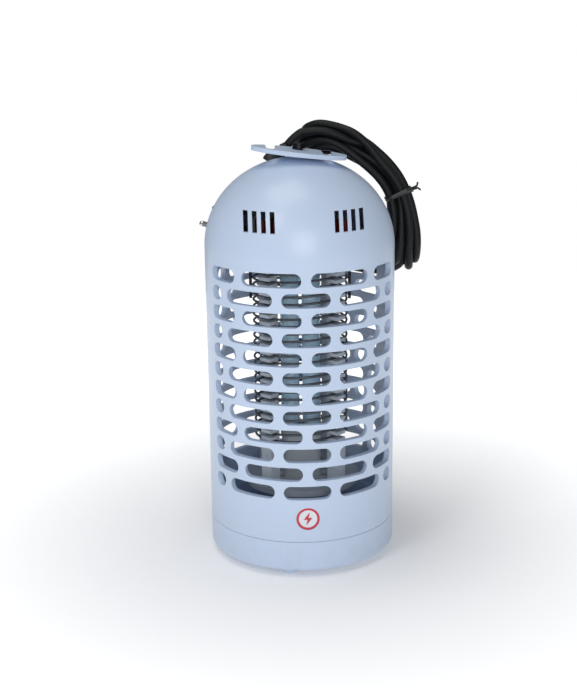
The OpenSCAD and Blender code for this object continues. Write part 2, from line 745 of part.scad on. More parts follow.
// Two glass tubes side by side, joined by a short bridge near the top
module lamp_tubes() color("#9fc4d8") translate([0, 0, tube_z]) {
    for (s = [-1, 1]) translate([s * tube_x, 0, 0]) {
        cylinder(d = tube_d, h = tube_l - tube_d / 2, $fn = 64);
        translate([0, 0, tube_l - tube_d / 2]) sphere(d = tube_d, $fn = 64);
    }
    translate([-tube_x, 0, tube_l - tube_d / 2 - 4]) rotate([0, 90, 0])
        cylinder(d = 5, h = 2 * tube_x, $fn = 32);
}

// ---------------------------------------------------------------- tray

module collecting_tray() color(shell_c) difference() {
    union() {
        translate([0, 0, foot_h]) rotate_extrude() polygon(concat(
            [[0, 0]],
            [for (a = [-90 : 9 : 0]) [body_r - edge_r + edge_r * cos(a), edge_r + edge_r * sin(a)]],
            [[body_r, tray_h - seam_gap], [body_r - tray_wall, tray_h - seam_gap]],
            [for (a = [0 : -15 : -90]) [body_r - tray_wall - 2 + 2 * cos(a), tray_wall + 2 + 2 * sin(a)]],
            [[0, tray_wall]]
        ));
        // ribs that stiffen the floor
        for (r = [18, 38]) translate([0, 0, foot_h + tray_wall - eps]) difference() {
            cylinder(r = r + 0.7, h = 1.2);
            translate([0, 0, -1]) cylinder(r = r - 0.7, h = 4);
        }
    }
    for (a = foot_angles) rotate([0, 0, a]) translate([0, -foot_r, foot_h - 1])
        cylinder(d = foot_peg_d + fit, h = tray_wall + 2, $fn = 48);
}

module tray_feet() color("#a9bcd2")
    for (a = foot_angles) rotate([0, 0, a]) translate([0, -foot_r, 0]) {
        cylinder(d1 = foot_d - 1.6, d2 = foot_d, h = 1.2, $fn = 48);
        translate([0, 0, 1.2 - eps]) cylinder(d = foot_d, h = foot_h - 1.2 + eps, $fn = 48);
        translate([0, 0, foot_h - eps]) cylinder(d = foot_peg_d, h = tray_wall + eps, $fn = 48);
    }

// ---------------------------------------------------------------- mains lead

module cord_lead() color(dark_c) lead_frame()
    sweep_tube(lead_route, [for (p = lead_route) cord_d / 2], cord_sides);

module cord_tail() color(dark_c) lead_frame()
    sweep_tube(tail_route, [for (p = tail_route) cord_d / 2], cord_sides);

// Chain of arcs, each turning to the right: [[point, heading], ...] at even steps along each
function arc_step(p, h, r, t) =
    p + r * [sin(h), -cos(h)] + r * [-sin(h - t), cos(h - t)];
function arc_chain(p, h, arcs, i = 0) =
    i == len(arcs) ? [[p, h]] :
    concat([for (k = [0 : arc_steps - 1]) let (t = arcs[i][1] * k / arc_steps)
            [arc_step(p, h, arcs[i][0], t), h - t]],
           arc_chain(arc_step(p, h, arcs[i][0], arcs[i][1]), h - arcs[i][1], arcs, i + 1));

hank_line = let (c = arc_chain(hank_start, hank_heading, hank_arcs), e = c[len(c) - 1])
    concat(c, [[e[0] + hank_drop * [cos(e[1]), sin(e[1])], e[1]]]);

function edge_point(c, side) = c[0] + side * hank_t / 2 * [-sin(c[1]), cos(c[1])];
function end_arc(c, from) =
    [for (a = [15 : 15 : 165]) c[0] + hank_t / 2 * [cos(c[1] + from - a), sin(c[1] + from - a)]];

module hank_2d() {
    n = len(hank_line);
    polygon(concat(
        [for (c = hank_line) edge_point(c, 1)],
        end_arc(hank_line[n - 1], 90),
        [for (i = [n - 1 : -1 : 0]) edge_point(hank_line[i], -1)],
        end_arc(hank_line[0], -90)
    ));
}

module hank_frame() lead_frame() translate([0, hank_y, 0]) rotate([90, 0, 0]) children();

module cord_hank() color(dark_c)
    hank_frame() translate([0, 0, -hank_w / 2]) linear_extrude(hank_w) hank_2d();

// Twisted wire tie round the hank, with its two ends twisted together outside
tie_c = hank_line[tie_step];

module cord_tie() color(dark_c) hank_frame() translate([tie_c[0][0], tie_c[0][1], 0])
    rotate([0, 0, tie_c[1]]) {
        rotate([0, 90, 0]) translate([0, 0, -tie_w / 2]) linear_extrude(tie_w) difference() {
            square([hank_w + 2 * tie_t, hank_t + 2 * tie_t + 1], center = true);
            square([hank_w + 0.1, hank_t + 0.6], center = true);
        }
        translate([0, hank_t / 2 + tie_t, 0]) rotate([-90, 0, 0]) cylinder(d = 3, h = 5, $fn = 24);
    }

// ---------------------------------------------------------------- plug

module plug_frame() lead_frame() translate(plug_at)
    rotate([0, 0, plug_az]) rotate([0, plug_tilt, 0]) rotate([0, 0, plug_roll]) children();

// Outline of the plug seen along its pins' row: wide at the face, narrow at the lead
module plug_profile() polygon([
    [plug_w / 2, 0], [plug_w / 2, -10], [plug_t / 2 + 1, -plug_l + 3], [plug_t / 2 - 2, -plug_l],
    [-plug_t / 2 + 2, -plug_l], [-plug_t / 2 - 1, -plug_l + 3], [-plug_w / 2, -10], [-plug_w / 2, 0]
]);

module plug_body() color(dark_c) plug_frame() {
    intersection() {
        rotate([0, 0, 90]) rotate([90, 0, 0]) translate([0, 0, -plug_t]) linear_extrude(2 * plug_t) plug_profile();
        translate([0, 0, -plug_l - 1]) linear_extrude(plug_l + 2) round_rect(plug_t, plug_w, 5);
    }
    translate([0, 0, -plug_l - plug_boot_l])
        cylinder(d1 = cord_d + 1.6, d2 = 9.6, h = plug_boot_l + 1, $fn = 32);
}

module plug_pins() color("#c9c4b6") plug_frame()
    for (s = [-1, 1]) translate([0, s * plug_pin_pitch / 2, 0]) {
        cylinder(d = plug_pin_d, h = plug_pin_l - 1, $fn = 48);
        translate([0, 0, plug_pin_l - 1 - eps]) cylinder(d1 = plug_pin_d, d2 = plug_pin_d - 1.4, h = 1 + eps, $fn = 48);
    }

// ---------------------------------------------------------------- assembly

housing();
front_badge();
divider_plate();
divider_screws();
hanger_plate();
hanger_screw();
hanger_washer();
hanger_nut();
cord_gland();
inner_lead();
cord_clamp();
clamp_screw();
circuit_board();
board_screws();
choke_core();
choke_coil();
film_capacitors();
disc_capacitors();
diodes();
resistors();
fuse_holder();
terminal_block();
terminal_screws();
mains_wires();
grid_leads();
lamp_leads();
grid_posts();
post_screws();
grid_wire_a();
grid_wire_b();
grid_base();
base_screws();
lamp_socket();
lamp_base();
lamp_pins();
lamp_tubes();
collecting_tray();
tray_feet();
cord_lead();
cord_hank();
cord_tie();
cord_tail();
plug_body();
plug_pins();
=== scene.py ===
"""Looks of the electric bug zapper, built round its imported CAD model. Lengths are in metres."""

import json
import math

import bpy
import numpy as np
from mathutils import Matrix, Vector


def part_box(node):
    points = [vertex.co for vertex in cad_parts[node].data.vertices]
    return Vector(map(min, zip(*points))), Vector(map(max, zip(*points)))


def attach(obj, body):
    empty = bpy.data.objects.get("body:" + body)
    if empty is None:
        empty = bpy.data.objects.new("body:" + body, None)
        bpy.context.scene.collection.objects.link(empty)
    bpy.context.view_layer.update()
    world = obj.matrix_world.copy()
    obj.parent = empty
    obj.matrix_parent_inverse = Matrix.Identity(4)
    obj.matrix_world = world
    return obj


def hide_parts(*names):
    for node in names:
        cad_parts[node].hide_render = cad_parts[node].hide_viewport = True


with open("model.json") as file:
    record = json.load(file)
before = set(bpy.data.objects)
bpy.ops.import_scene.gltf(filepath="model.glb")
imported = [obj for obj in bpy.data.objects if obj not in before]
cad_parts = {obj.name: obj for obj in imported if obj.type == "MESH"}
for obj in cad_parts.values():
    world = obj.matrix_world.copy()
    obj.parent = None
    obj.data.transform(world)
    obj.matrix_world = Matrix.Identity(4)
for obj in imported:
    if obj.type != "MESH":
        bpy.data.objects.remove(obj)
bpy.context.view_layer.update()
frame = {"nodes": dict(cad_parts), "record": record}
MM = 0.001


def srgb(red, green, blue):
    """Linear colour of three 0 to 255 display values."""
    c = np.array([red, green, blue]) / 255.0
    return tuple(np.where(c < 0.04045, c / 12.92, ((c + 0.055) / 1.055) ** 2.4)) + (1.0,)


# ------------------------------------------------------------------ camera

camera_data = bpy.data.cameras.new("camera")
camera_data.lens = 65.906
camera_data.sensor_width = 36.0
camera = bpy.data.objects.new("camera", camera_data)
bpy.context.scene.collection.objects.link(camera)
camera.location = (-0.0517, -0.8321, 0.3605)
camera.rotation_mode = "XYZ"
camera.rotation_euler = (math.radians(75.03), 0.0, math.radians(-3.0))
camera.rotation_euler.rotate_axis("Z", math.radians(-0.69))
bpy.context.scene.camera = camera

# ------------------------------------------------------------------ shapes


def unit(v):
    """Vectors of length one, along the last axis."""
    return v / np.maximum(np.linalg.norm(v, axis=-1, keepdims=True), 1e-12)


def rot_z(degrees):
    """Matrix that turns about Z."""
    c, s = math.cos(math.radians(degrees)), math.sin(math.radians(degrees))
    return np.array([[c, -s, 0.0], [s, c, 0.0], [0.0, 0.0, 1.0]])


def rot_y(degrees):
    """Matrix that turns about Y."""
    c, s = math.cos(math.radians(degrees)), math.sin(math.radians(degrees))
    return np.array([[c, 0.0, s], [0.0, 1.0, 0.0], [-s, 0.0, c]])


def make_piece(name, points, quads, uv, body, slot, stands_for=()):
    """A smooth mesh from points, faces and one uv per face corner, riding on a body."""
    mesh = bpy.data.meshes.new(name)
    mesh.from_pydata(points.tolist(), [], quads)
    if uv is not None:
        layer = mesh.uv_layers.new(name="UVMap")
        layer.data.foreach_set("uv", np.asarray(uv, np.float32).ravel())
    mesh.polygons.foreach_set("use_smooth", np.full(len(mesh.polygons), True))
    mesh.update()
    piece = bpy.data.objects.new(name, mesh)
    bpy.context.scene.collection.objects.link(piece)
    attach(piece, body)
    if stands_for:
        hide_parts(*stands_for)
    return piece


def skin(rings):
    """Points, quads and uvs of a closed tube from rings of points, shape (rings, sides, 3).

    Ring i and ring i + 1 are joined by one quad per side, and each end is closed by
    triangles to the middle of its ring. u runs round the ring and v along the tube."""
    n, m = rings.shape[:2]
    points = np.concatenate([rings.reshape(-1, 3), rings[:1].mean(1), rings[-1:].mean(1)])
    i, k = np.meshgrid(np.arange(n - 1), np.arange(m), indexing="ij")
    a = i * m + k
    b = i * m + (k + 1) % m
    walls = np.stack([a, b, b + m, a + m], -1).reshape(-1, 4)
    edge = np.arange(m)
    after = (edge + 1) % m
    first = np.stack([after, edge, np.full(m, n * m)], -1)
    last = np.stack([edge, after, np.full(m, n * m + 1)], -1)
    last[:, :2] += (n - 1) * m
    along = np.concatenate([[0.0], np.cumsum(np.linalg.norm(np.diff(rings.mean(1), axis=0), axis=1))])
    v = along[i] * 100.0
    v_next = along[i + 1] * 100.0
    u = k / m
    u_next = (k + 1) / m
    wall_uv = np.stack([u, v, u_next, v, u_next, v_next, u, v_next], -1).reshape(-1, 2)
    middle = np.zeros(m)
    first_uv = np.stack([after / m, middle, edge / m, middle, middle, middle], -1).reshape(-1, 2)
    last_uv = first_uv + [0.0, along[-1] * 100.0]
    quads = walls.tolist() + first.tolist() + last.tolist()
    return points, quads, np.concatenate([wall_uv, first_uv, last_uv])


def carried_frames(path):
    """Tangent, side and up vectors along a path, turned as little as possible from point to point."""
    tangent = unit(np.gradient(path, axis=0))
    side = np.zeros_like(path)
    start = np.cross(tangent[0], [0.0, 0.0, 1.0] if abs(tangent[0, 2]) < 0.9 else [0.0, 1.0, 0.0])
    side[0] = unit(start)
    for i in range(1, len(path)):
        carried = side[i - 1] - np.dot(side[i - 1], tangent[i]) * tangent[i]
        side[i] = carried / np.linalg.norm(carried)
    return tangent, side, np.cross(tangent, side)


def tube_rings(path, radius, sides):
    """Circles of the given radius round each point of a path, square to the path."""
    _, side, up = carried_frames(path)
    angle = np.linspace(0.0, 2 * np.pi, sides, endpoint=False)
    radius = np.broadcast_to(np.asarray(radius, float).reshape(-1, 1, 1), (len(path), 1, 1))
    return path[:, None] + radius * (
        np.cos(angle)[None, :, None] * side[:, None] + np.sin(angle)[None, :, None] * up[:, None]
    )


def catmull(points, parts):
    """Smooth route through points: each span is the cubic whose slope at a point is half the
    step between that point's two neighbours."""
    p = np.concatenate([points[:1], points, points[-1:]])
    a, b, c, d = p[:-3], p[1:-2], p[2:-1], p[3:]
    t = (np.arange(parts) / parts)[:, None, None]
    square, cube = 2 * a - 5 * b + 4 * c - d, 3 * b - a - 3 * c + d
    spans = 0.5 * (2 * b + (c - a) * t + square * t**2 + cube * t**3)
    return np.concatenate([spans.transpose(1, 0, 2).reshape(-1, 3), points[-1:]])


def resample(path, step):
    """The same path with points an even step apart."""
    along = np.concatenate([[0.0], np.cumsum(np.linalg.norm(np.diff(path, axis=0), axis=1))])
    count = max(4, int(round(along[-1] / step)) + 1)
    at = np.linspace(0.0, along[-1], count)
    return np.stack([np.interp(at, along, path[:, k]) for k in range(3)], -1)


# ------------------------------------------------------------------ mains lead

LEAD_TURN = rot_z(-3.0)
LEAD_D = 5.6 * MM
LEAD_R = LEAD_D / 2
BODY_R = 62.5
DOME_Z = 209.85
DOME_H = 57.5

BOOT_ROUTE = np.array([
    [-17.5, 24, 260.6], [-16.25, 24, 262.8], [-13.6, 24, 265.6], [-10.7, 24, 268.4], [-7.3, 24, 271.9],
])
LEAD_ROUTE = np.array([
    [-7.3, 24, 271.9], [-5.4, 24, 274.1], [-3.3, 24, 276.2], [-1.3, 24, 278], [0.8, 24, 279.4],
    [4, 24, 280.8],
])
TAIL_ROUTE = np.array([
    [70.9, 29, 197], [70.6, 31.5, 192.5], [68.6, 35.6, 188.4], [64, 41.4, 184.6], [56.8, 48, 182.2],
    [48.4, 54.6, 181.4], [39.5, 61.4, 181.8], [30.4, 68.4, 183.4], [21.2, 75, 186], [12, 80.2, 189.2],
    [3, 83.2, 193], [-5.7, 83.3, 197],
])

# Middle line of the hank in its upright plane: arcs that turn to the right, then a straight drop
HANK_Y = 28.0
HANK_START = np.array([5.0, 275.9])
HANK_HEADING = 23.4
HANK_ARCS = [(18.0, 30.2), (67.0, 54.0), (49.0, 29.0)]
HANK_DROP = 21.5
STRAND_STEP = 3.4
STRAND_APART = 5.75
HOUSING_GAP = 3.1
SETTLE_ROUNDS = 420


def hank_line(step):
    """Points, headings and distances along the hank's middle line. On an arc of radius r that
    has turned by t from heading h, the point is r (sin h - sin(h - t), cos(h - t) - cos h)
    beyond the arc's start."""
    start = HANK_START
    heading = math.radians(HANK_HEADING)
    points, headings, lengths = [], [], []
    done = 0.0
    for radius, turn in HANK_ARCS:
        t = np.arange(0.0, math.radians(turn), step / radius)
        points.append(start + radius * np.stack([
            np.sin(heading) - np.sin(heading - t), np.cos(heading - t) - np.cos(heading)], -1))
        headings.append(heading - t)
        lengths.append(done + radius * t)
        t = math.radians(turn)
        start = start + radius * np.array([
            np.sin(heading) - np.sin(heading - t), np.cos(heading - t) - np.cos(heading)])
        heading -= t
        done += radius * t
    t = np.arange(0.0, HANK_DROP + 1e-6, step)
    points.append(start + t[:, None] * [np.cos(heading), np.sin(heading)])
    headings.append(np.full(len(t), heading))
    lengths.append(done + t)
    return np.concatenate(points), np.concatenate(headings), np.concatenate(lengths)


LINE, LINE_HEADING, LINE_LENGTH = hank_line(1.0)
LINE_TANGENT = np.stack([np.cos(LINE_HEADING), np.sin(LINE_HEADING)], -1)
LINE_NORMAL = np.stack([-np.sin(LINE_HEADING), np.cos(LINE_HEADING)], -1)
HANK_LENGTH = LINE_LENGTH[-1]


def from_hank(along, outward, across):
    """Points from a distance along the hank, an offset outwards in its plane and one across it.
    Beyond either end the line goes on straight."""
    s = np.clip(along, 0.0, HANK_LENGTH)
    over = along - s
    point = np.stack([np.interp(s, LINE_LENGTH, LINE[:, k]) for k in range(2)], -1)
    tangent = unit(np.stack([np.interp(s, LINE_LENGTH, LINE_TANGENT[:, k]) for k in range(2)], -1))
    normal = np.stack([-tangent[:, 1], tangent[:, 0]], -1)
    flat = point + over[:, None] * tangent + outward[:, None] * normal
    return np.stack([flat[:, 0], HANK_Y + across, flat[:, 1]], -1)


def to_hank(points):
    """The opposite of from_hank: nearest place along the line and the two offsets."""
    flat = points[:, [0, 2]]
    near = np.argmin(((flat[:, None] - LINE[None]) ** 2).sum(-1), 1)
    off = flat - LINE[near]
    along = LINE_LENGTH[near] + (off * LINE_TANGENT[near]).sum(-1)
    return along, (off * LINE_NORMAL[near]).sum(-1), points[:, 1] - HANK_Y


# Each run of the lead along the hank: its offset outwards and its offset across
RUNS = [(5.7, -3.4), (5.7, 5.0), (2.9, -9.0), (2.0, 9.0), (0.0, -4.0), (0.0, 3.6), (-5.7, -8.6),
        (-5.7, 7.6), (-5.7, -0.6)]
# Each fold: how far it reaches beyond the hank's end, its offset outwards, the middle of its
# offset across, and its radius; the folds of the upper end hang down over the dome's back
FOLDS = [(4.0, 7.6, 3.0, 11.5), (-4.0, 8.0, 11.5, 10.5), (8.0, 2.4, 3.0, 12.0), (3.0, 3.0, 11.5, 10.5),
         (5.0, -3.0, 2.5, 12.0), (0.0, -2.4, 11.0, 10.0), (-3.0, -7.6, 3.0, 11.0), (-8.0, -6.0, 11.0, 9.5)]
FOLD_EASE = 38.0
FOLD_DROOP = -0.62
FOLD_PIVOT = 4.0
# Where the first run starts, how far before the end the last one stops, and where the runs
# give over to their folds at the upper and the lower end
FIRST_RUN_FROM = 22.0
LAST_RUN_SHORT = 16.0
UPPER_TURN = 8.0
LOWER_TURN = 10.0


def eased(t):
    """0 up to t = 0, 1 from t = 1, and 3 t^2 - 2 t^3 between."""
    t = np.clip(t, 0.0, 1.0)
    return t * t * (3 - 2 * t)


def wound_route():
    """The lead's whole route before it settles: runs up and down the hank. Near an end each run
    eases out to the width of its fold, which is a half circle."""
    parts = [LEAD_ROUTE]
    for i, (out, across) in enumerate(RUNS):
        going_down = i % 2 == 0
        before = FOLDS[i - 1] if i > 0 else None
        after = FOLDS[i] if i < len(FOLDS) else None
        top, bottom = (before, after) if going_down else (after, before)
        low = -top[0] + UPPER_TURN if top else FIRST_RUN_FROM
        high = HANK_LENGTH + bottom[0] - LOWER_TURN if bottom else HANK_LENGTH - LAST_RUN_SHORT
        s = np.linspace(low, high, int((high - low) / STRAND_STEP))
        o, c = np.full(len(s), out), np.full(len(s), across)
        for fold, ramp, droop in ((top, (low + FOLD_EASE - s) / FOLD_EASE, FOLD_DROOP),
                                  (bottom, (s - high + FOLD_EASE) / FOLD_EASE, 0.0)):
            if fold:
                entering = fold is after
                other = RUNS[i + 1][1] if entering else RUNS[i - 1][1]
                side = 1.0 if across > other else -1.0
                target = fold[2] + side * fold[3]
                o = o + (fold[1] + droop * (target - FOLD_PIVOT) - o) * eased(ramp)
                c = c + (target - c) * eased(ramp)
        order = slice(None) if going_down else slice(None, None, -1)
        parts.append(from_hank(s[order], o[order], c[order]))
        if after:
            t = np.linspace(0.0, np.pi, 14)[1:-1]
            side = 1.0 if across > RUNS[i + 1][1] else -1.0
            over = after[2] + side * after[3] * np.cos(t)
            beyond = after[3] * np.sin(t)
            end = high + beyond if going_down else low - beyond
            droop = 0.0 if going_down else FOLD_DROOP
            parts.append(from_hank(end, after[1] + droop * (over - FOLD_PIVOT), over))
    parts.append(TAIL_ROUTE)
    return resample(catmull(np.concatenate(parts), 2), STRAND_STEP)


def clear_of_housing(p, gap):
    """Points moved out of the dome and the wall below it, to a gap from their surfaces."""
    r = np.hypot(p[:, 0], p[:, 1])
    high = np.maximum(p[:, 2] - DOME_Z, 0.0)
    k = np.sqrt((r / (BODY_R + gap)) ** 2 + (high / (DOME_H + gap)) ** 2)
    push = np.where(k < 1.0, 1.0 / np.maximum(k, 0.5), 1.0)
    q = p.copy()
    q[:, 0] *= push
    q[:, 1] *= push
    q[:, 2] = np.where(p[:, 2] > DOME_Z, DOME_Z + high * push, p[:, 2])
    return q


# The outline that the settling lead is held in: places along the hank, and there its reach to
# the back, to the front and to either side of the middle line; outwards it is limited as well
OUTLINE_AT = [0.0, 45.0, HANK_LENGTH - 45.0, HANK_LENGTH - 8.0]
BACK = [24.0, 9.6, 9.6, 17.0]
FRONT = [8.6, 9.6, 9.6, 12.0]
THICK = [14.0, 5.9, 5.9, 8.8]
OUTER_MOST = 8.4


def settle(path, rounds):
    """Lets a wound lead find its place: at each round a point moves towards the middle of its
    neighbours, strands nearer than a diameter push each other apart, the bundle is held in
    the hank's outline, and the steps return to their length. Both ends stay put."""
    n = len(path)
    step = np.linalg.norm(np.diff(path, axis=0), axis=1).mean()
    index = np.arange(n)
    apart = np.abs(index[:, None] - index[None]) > 5
    free = ((index > 5) & (index < n - 30)).astype(float)[:, None]
    p = path.copy()
    for _ in range(rounds):
        bend = np.zeros_like(p)
        bend[2:-2] = (-p[:-4] + 4 * p[1:-3] - 6 * p[2:-2] + 4 * p[3:-1] - p[4:]) / 16
        p = p + 0.9 * bend * free
        gap = p[:, None] - p[None]
        distance = np.linalg.norm(gap, axis=-1)
        near = apart & (distance < STRAND_APART) & (distance > 1e-6)
        push = np.where(near, (STRAND_APART - distance) / np.maximum(distance, 1e-6), 0.0)
        p = p + 0.3 * (push[..., None] * gap).sum(1) * free
        along, out, across = to_hank(p)
        inside = (index > 8) & (index < n - 34)
        back, front, inner = (np.interp(along, OUTLINE_AT, width) for width in (BACK, FRONT, THICK))
        outer = np.minimum(inner, OUTER_MOST)
        pulled = from_hank(along, np.clip(out, -inner, outer), np.clip(across, -front, back))
        p = np.where(inside[:, None], p + 0.5 * (pulled - p), p)
        p = np.where(free > 0, clear_of_housing(p, HOUSING_GAP), p)
        for odd in (0, 1, 0, 1):
            a = p[odd:-1:2]
            b = p[odd + 1::2]
            m = min(len(a), len(b))
            d = b[:m] - a[:m]
            length = np.linalg.norm(d, axis=1, keepdims=True)
            fix = 0.5 * (length - step) / np.maximum(length, 1e-6) * d
            p[odd:-1:2][:m] += fix * free[odd:-1:2][:m]
            p[odd + 1::2][:m] -= fix * free[odd + 1::2][:m]
    return p


lead_path = catmull(settle(wound_route(), SETTLE_ROUNDS), 2) @ LEAD_TURN.T * MM
lead = make_piece("mains_lead", *skin(tube_rings(lead_path, LEAD_R, 18)), "housing_body", "cord_jacket",
                  ("cord_lead", "cord_hank", "cord_tail"))

# Gland and bend relief: a flange on the dome, then a boot of rings that taper to the lead
boot_line = resample(catmull(BOOT_ROUTE, 8), 0.25)
boot_along = np.linspace(0.0, 1.0, len(boot_line))
boot_rings = 0.5 + 0.5 * np.cos(2 * np.pi * np.clip((boot_along - 0.2) / 0.7, 0.0, 1.0) * 5)
boot_radius = np.interp(boot_along, [0.0, 0.1, 0.12, 0.17, 0.2, 1.0], [6.9, 6.9, 6.7, 6.5, 5.9, 3.6])
boot_radius = boot_radius - 0.45 * boot_rings * np.clip((boot_along - 0.2) * 20, 0.0, 1.0)
boot_radius[-1] = 3.0
boot = make_piece("bend_relief", *skin(tube_rings(boot_line @ LEAD_TURN.T * MM, boot_radius * MM, 40)),
                  "housing_body", "cord_jacket", ("cord_gland",))

# ------------------------------------------------------------------ plug

PLUG_AT = np.array([-48.1, 63.3, 214.3])
PLUG_LONG = 36.0
FACE_HALF = (6.85, 17.6)
TAIL_HALF = (5.2, 6.2)
PLUG_AXES = LEAD_TURN @ rot_z(205.3) @ rot_y(69.8) @ rot_z(45.0)


def plug_points(local):
    """Points of the plug from its own axes, pins along +Z and the pins' row along Y."""
    return (local @ PLUG_AXES.T + LEAD_TURN @ PLUG_AT) * MM


def plug_shell():
    """Rings of a squared ellipse, |x / a|^p + |y / b|^p = 1, whose half widths a and b narrow
    from the face to the lead; shallow grip grooves are a cosine taken off both."""
    z = np.concatenate([[0.0, 0.0, -0.25, -0.7], np.linspace(-1.4, -PLUG_LONG, 90), [-36.6, -37.0]])
    s = np.clip(-z / PLUG_LONG, 0.0, 1.0)
    ease = eased((s - 0.22) / 0.74)
    a, b = (face + (end - face) * ease for face, end in zip(FACE_HALF, TAIL_HALF))
    grip = np.clip((s - 0.42) * 12, 0.0, 1.0) * np.clip((0.86 - s) * 12, 0.0, 1.0)
    groove = 0.55 * grip * (0.5 - 0.5 * np.cos(2 * np.pi * (z + PLUG_LONG) / 2.7))
    edge = np.interp(-z, [0.0, 0.001, 0.25, 0.7, 1.4], [1.6, 1.2, 0.6, 0.2, 0.0])
    edge[0] = 2.0
    tail = np.interp(-z, [36.0, 36.6, 37.0], [0.0, 0.6, 1.6])
    a = a - edge - tail - groove * 0.7
    b = b - edge - tail - groove
    power = np.interp(s, [0.0, 0.4, 1.0], [5.0, 3.6, 2.4])
    t = np.linspace(0.0, 2 * np.pi, 72, endpoint=False)
    c, w = np.cos(t)[None], np.sin(t)[None]
    p = (2 / power)[:, None]
    x = a[:, None] * np.sign(c) * np.abs(c) ** p
    y = b[:, None] * np.sign(w) * np.abs(w) ** p
    return plug_points(np.stack([x, y, np.broadcast_to(z[:, None], x.shape)], -1)[::-1])


plug = make_piece("mains_plug", *skin(plug_shell()), "housing_body", "cord_jacket", ("plug_body",))
sleeve_z = np.linspace(-50.2, -36.2, 113)
sleeve_r = np.interp(sleeve_z, [-50.2, -36.2], [3.5, 4.9])
sleeve_r = sleeve_r - 0.5 * (0.5 + 0.5 * np.cos(2 * np.pi * (sleeve_z + 50.2) / 2.8)) * (sleeve_z > -49.6)
sleeve_line = plug_points(np.stack([sleeve_z * 0, sleeve_z * 0, sleeve_z], -1))
sleeve = make_piece("plug_sleeve", *skin(tube_rings(sleeve_line, sleeve_r * MM, 36)), "housing_body",
                    "cord_jacket")

# ------------------------------------------------------------------ twist tie

# 6 mm beyond the end of the hank's second arc
TIE_AT = 9.5 + 63.1 + 6.0


def tie_strip():
    """A flat ribbon, 3 mm wide, round the bundle: a rounded rectangle in the plane across the
    hank, with a ripple where it passes over each strand."""
    t = np.linspace(0.0, 2 * np.pi, 121)[:-1]
    c, w = np.cos(t), np.sin(t)
    out = (9.3 - 0.25 * np.cos(12 * t)) * np.sign(c) * np.abs(c) ** 0.45
    across = (12.6 - 0.2 * np.cos(12 * t)) * np.sign(w) * np.abs(w) ** 0.45
    section = np.array([[-1.5, -0.25], [-0.5, -0.35], [-0.3, -0.6], [0.3, -0.6], [0.5, -0.35], [1.5, -0.25],
                        [1.5, 0.25], [0.5, 0.35], [0.3, 0.6], [-0.3, 0.6], [-0.5, 0.35], [-1.5, 0.25]])
    scale = 1 + section[:, 1][None] / 10.0
    skew = 1.6 * np.sin(t)[:, None]
    points = from_hank((TIE_AT + section[:, 0][None] + skew).ravel(), (out[:, None] * scale).ravel(),
                       (across[:, None] * scale).ravel())
    rings = points.reshape(len(t), len(section), 3)
    n, m = rings.shape[:2]
    i, k = np.meshgrid(np.arange(n), np.arange(m), indexing="ij")
    a = i * m + k
    b = i * m + (k + 1) % m
    c2 = ((i + 1) % n) * m + (k + 1) % m
    d2 = ((i + 1) % n) * m + k
    quads = np.stack([a, d2, c2, b], -1).reshape(-1, 4).tolist()
    return rings.reshape(-1, 3) @ LEAD_TURN.T * MM, quads


tie_points, tie_quads = tie_strip()
tie = make_piece("twist_tie", tie_points, tie_quads, None, "housing_body", "black_plastic", ("cord_tie",))


def tie_end(phase, name):
    """One end of the tie: it winds round the other from the bundle, then turns away. The
    winding is a helix about the outward line through the tie."""
    t = np.linspace(0.0, 1.0, 60)
    angle = 2 * np.pi * 1.6 * np.clip(t / 0.7, 0, 1) + phase
    spread = 0.65 + 2.2 * np.clip((t - 0.7) / 0.3, 0, 1) ** 1.5
    out = 9.0 + 5.6 * t
    points = from_hank(TIE_AT + spread * np.cos(angle), out, spread * np.sin(angle) - 2.0)
    return make_piece(name, *skin(tube_rings(points @ LEAD_TURN.T * MM, 0.62 * MM, 10)), "housing_body",
                      "black_plastic")


tie_a = tie_end(0.0, "twist_tie_end_a")
tie_b = tie_end(np.pi, "twist_tie_end_b")

# ------------------------------------------------------------------ grid wires

GRID_R = 31.0
GRID_PITCH = 9.8
WIRE_R = 0.8
GRID_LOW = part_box("grid_wire_a")[0][2] / MM + WIRE_R
GRID_TURNS = (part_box("grid_wire_a")[1][2] / MM - WIRE_R - GRID_LOW) / GRID_PITCH


def helix(start, name, node):
    """A round wire along the helix (r cos angle, r sin angle, low + pitch * turns)."""
    turns = np.linspace(0.0, GRID_TURNS, int(GRID_TURNS * 60))
    angle = np.radians(start) + 2 * np.pi * turns
    rise = GRID_LOW + GRID_PITCH * turns
    path = np.stack([GRID_R * np.cos(angle), GRID_R * np.sin(angle), rise], -1) * MM
    return make_piece(name, *skin(tube_rings(path, WIRE_R * MM, 10)), "housing_body", "grid_steel", (node,))


wire_a = helix(0.0, "high_voltage_wire_a", "grid_wire_a")
wire_b = helix(180.0, "high_voltage_wire_b", "grid_wire_b")

# ------------------------------------------------------------------ shader writing


class Val:
    """A socket's value. Arithmetic on it adds Math nodes."""

    def __init__(self, net, socket):
        self.net = net
        self.socket = socket

    def _math(self, operation, *values):
        return self.net.add("ShaderNodeMath", {"operation": operation}, list(values))[0]

    def __add__(self, other):
        return self._math("ADD", self, other)

    def __radd__(self, other):
        return self._math("ADD", other, self)

    def __sub__(self, other):
        return self._math("SUBTRACT", self, other)

    def __rsub__(self, other):
        return self._math("SUBTRACT", other, self)

    def __mul__(self, other):
        return self._math("MULTIPLY", self, other)

    def __truediv__(self, other):
        return self._math("DIVIDE", self, other)

    def __pow__(self, other):
        return self._math("POWER", self, other)

    def clamp(self):
        return self._math("MINIMUM", self._math("MAXIMUM", self, 0.0), 1.0)

    def sine(self):
        return self._math("SINE", self)


